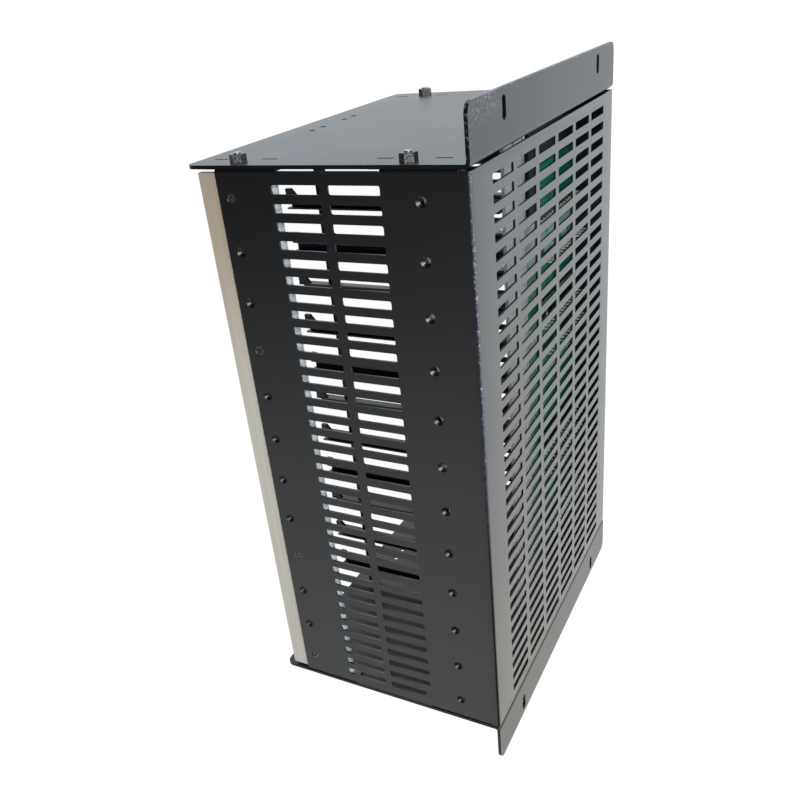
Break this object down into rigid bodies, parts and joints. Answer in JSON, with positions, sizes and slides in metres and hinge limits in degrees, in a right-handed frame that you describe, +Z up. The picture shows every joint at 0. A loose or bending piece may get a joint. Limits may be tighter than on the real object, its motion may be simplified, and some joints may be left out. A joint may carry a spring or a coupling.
{
  "type": "subrack card cage",
  "caption": "Slotted sheet-metal card cage between two eared end plates, open at the front, with card guides and a backplane behind a slotted rear face.",
  "frame": {"origin": "centre of the bounding box's bottom face", "axes": "+X across the rack width, +Y to the slotted rear face with the ears, +Z up from the bottom sheet the cage rests on"},
  "size_m": [0.4826, 0.208, 0.296],
  "materials": {
    "sheet_paint": "satin black paint with fine wear at the bends",
    "plate_paint": "satin black paint, worn at the ear edges",
    "bar_aluminium": "plain aluminium, faintly brushed",
    "screw_steel": "blackened steel with a worn rim",
    "stud_steel": "plain steel",
    "nut_steel": "dark steel, bright at the edges",
    "cross_rail_paint": "satin black paint",
    "rail_aluminium": "plain aluminium",
    "board_laminate": "green solder mask",
    "post_metal": "bright tinned metal",
    "housing_plastic": "black moulded plastic",
    "strip_plastic": "black moulded plastic",
    "guide_plastic": "grey moulded plastic"
  },
  "bodies": {
    "root": {"wrap_sheet": "sheet_paint", "end_plate_left": "plate_paint", "end_plate_right": "plate_paint", "front_bar_top": "bar_aluminium", "front_bar_bottom": "bar_aluminium", "bar_screws_top": "screw_steel", "bar_screws_bottom": "screw_steel", "studs_left": "stud_steel", "studs_right": "stud_steel", "nuts_left": "nut_steel", "nuts_right": "nut_steel", "cross_rail": "cross_rail_paint", "backplane_rail": "rail_aluminium", "backplane_board": "board_laminate", "backplane_posts": "post_metal", "housing_1": "housing_plastic", "housing_2": "housing_plastic", "post_strip_1": "strip_plastic", "post_strip_2": "strip_plastic", "post_strip_3": "strip_plastic", "post_strip_4": "strip_plastic", "post_strip_5": "strip_plastic", "post_strip_6": "strip_plastic", "post_strip_7": "strip_plastic", "upper_guide_01": "guide_plastic", "upper_guide_02": "guide_plastic", "upper_guide_03": "guide_plastic", "upper_guide_04": "guide_plastic", "upper_guide_05": "guide_plastic", "upper_guide_06": "guide_plastic", "upper_guide_07": "guide_plastic", "upper_guide_08": "guide_plastic", "upper_guide_09": "guide_plastic", "upper_guide_10": "guide_plastic", "upper_guide_11": "guide_plastic", "upper_guide_12": "guide_plastic", "lower_guide_01": "guide_plastic", "lower_guide_02": "guide_plastic", "lower_guide_03": "guide_plastic", "lower_guide_04": "guide_plastic", "lower_guide_05": "guide_plastic", "lower_guide_06": "guide_plastic", "lower_guide_07": "guide_plastic", "lower_guide_08": "guide_plastic", "lower_guide_09": "guide_plastic", "lower_guide_10": "guide_plastic", "lower_guide_11": "guide_plastic", "lower_guide_12": "guide_plastic"}
  },
  "joints": []
}
